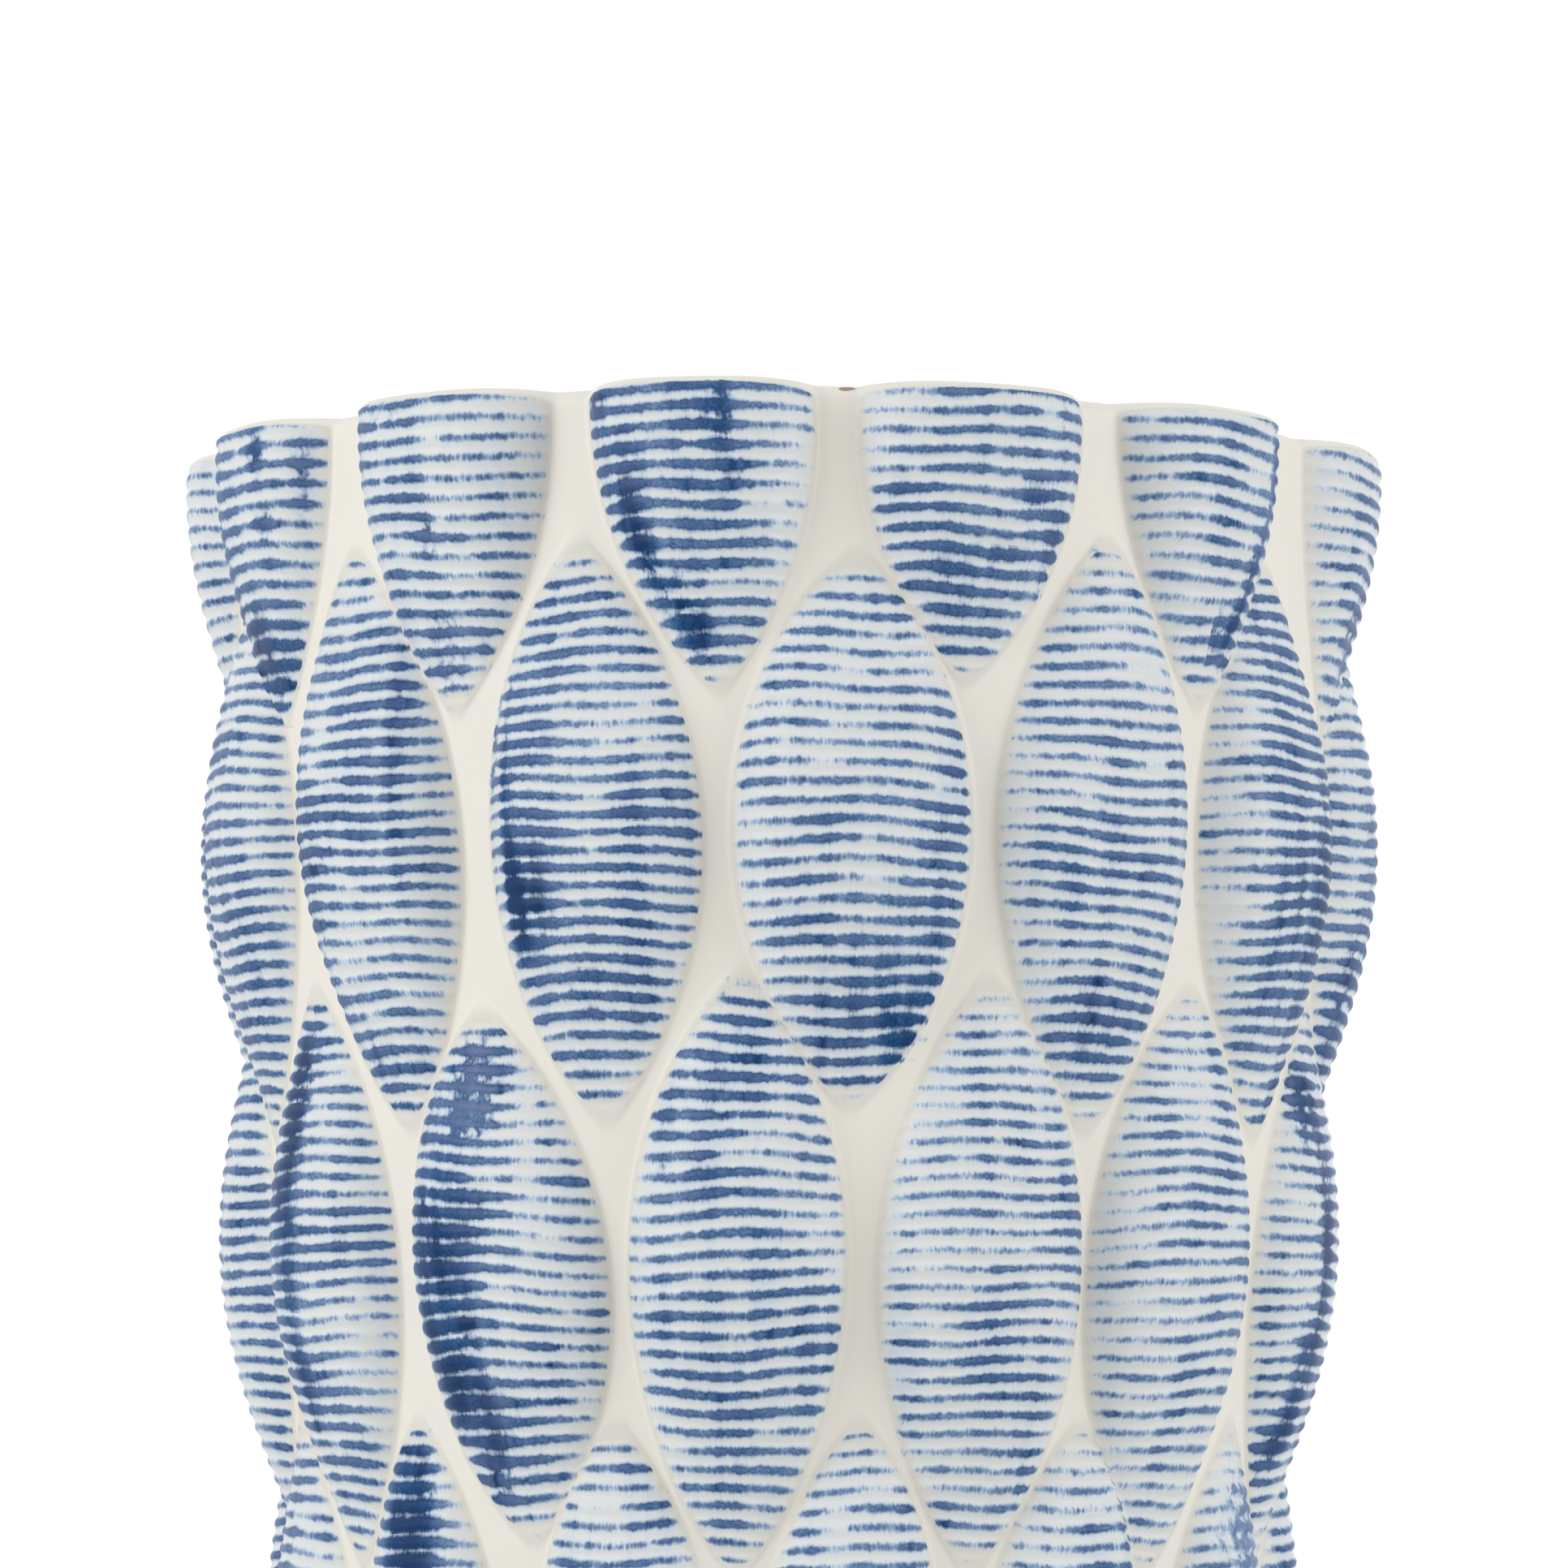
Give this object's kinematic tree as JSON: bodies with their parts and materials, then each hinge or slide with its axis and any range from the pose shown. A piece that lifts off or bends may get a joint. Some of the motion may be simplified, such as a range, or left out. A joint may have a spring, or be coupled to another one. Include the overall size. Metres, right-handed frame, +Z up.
{
  "type": "vase",
  "caption": "Tapered ceramic vase with a scalloped rim, covered in staggered rows of raised, combed pointed leaves, standing on a foot ring.",
  "frame": {"origin": "on the vase's axis, at the level of the surface that it stands on", "axes": "+Z up along the axis of the vase, -Y toward the front"},
  "size_m": [0.1908, 0.1908, 0.26],
  "materials": {
    "white_glaze": "cream-white satin glaze",
    "blue_glaze": "cobalt blue brushed over the ribs of a cream-white glaze",
    "bare_clay": "unglazed fired clay"
  },
  "bodies": {
    "root": {"vessel_wall": "white_glaze", "floor_slab": "white_glaze", "foot_ring": "bare_clay", "rim_leaf_01": "blue_glaze", "rim_leaf_02": "blue_glaze", "rim_leaf_03": "blue_glaze", "rim_leaf_04": "blue_glaze", "rim_leaf_05": "blue_glaze", "rim_leaf_06": "blue_glaze", "rim_leaf_07": "blue_glaze", "rim_leaf_08": "blue_glaze", "rim_leaf_09": "blue_glaze", "rim_leaf_10": "blue_glaze", "rim_leaf_11": "blue_glaze", "rim_leaf_12": "blue_glaze", "rim_leaf_13": "blue_glaze", "rim_leaf_14": "blue_glaze", "upper_leaf_01": "blue_glaze", "upper_leaf_02": "blue_glaze", "upper_leaf_03": "blue_glaze", "upper_leaf_04": "blue_glaze", "upper_leaf_05": "blue_glaze", "upper_leaf_06": "blue_glaze", "upper_leaf_07": "blue_glaze", "upper_leaf_08": "blue_glaze", "upper_leaf_09": "blue_glaze", "upper_leaf_10": "blue_glaze", "upper_leaf_11": "blue_glaze", "upper_leaf_12": "blue_glaze", "upper_leaf_13": "blue_glaze", "upper_leaf_14": "blue_glaze", "middle_leaf_01": "blue_glaze", "middle_leaf_02": "blue_glaze", "middle_leaf_03": "blue_glaze", "middle_leaf_04": "blue_glaze", "middle_leaf_05": "blue_glaze", "middle_leaf_06": "blue_glaze", "middle_leaf_07": "blue_glaze", "middle_leaf_08": "blue_glaze", "middle_leaf_09": "blue_glaze", "middle_leaf_10": "blue_glaze", "middle_leaf_11": "blue_glaze", "middle_leaf_12": "blue_glaze", "middle_leaf_13": "blue_glaze", "middle_leaf_14": "blue_glaze", "lower_leaf_01": "blue_glaze", "lower_leaf_02": "blue_glaze", "lower_leaf_03": "blue_glaze", "lower_leaf_04": "blue_glaze", "lower_leaf_05": "blue_glaze", "lower_leaf_06": "blue_glaze", "lower_leaf_07": "blue_glaze", "lower_leaf_08": "blue_glaze", "lower_leaf_09": "blue_glaze", "lower_leaf_10": "blue_glaze", "lower_leaf_11": "blue_glaze", "lower_leaf_12": "blue_glaze", "lower_leaf_13": "blue_glaze", "lower_leaf_14": "blue_glaze", "foot_leaves": "blue_glaze"}
  },
  "joints": []
}
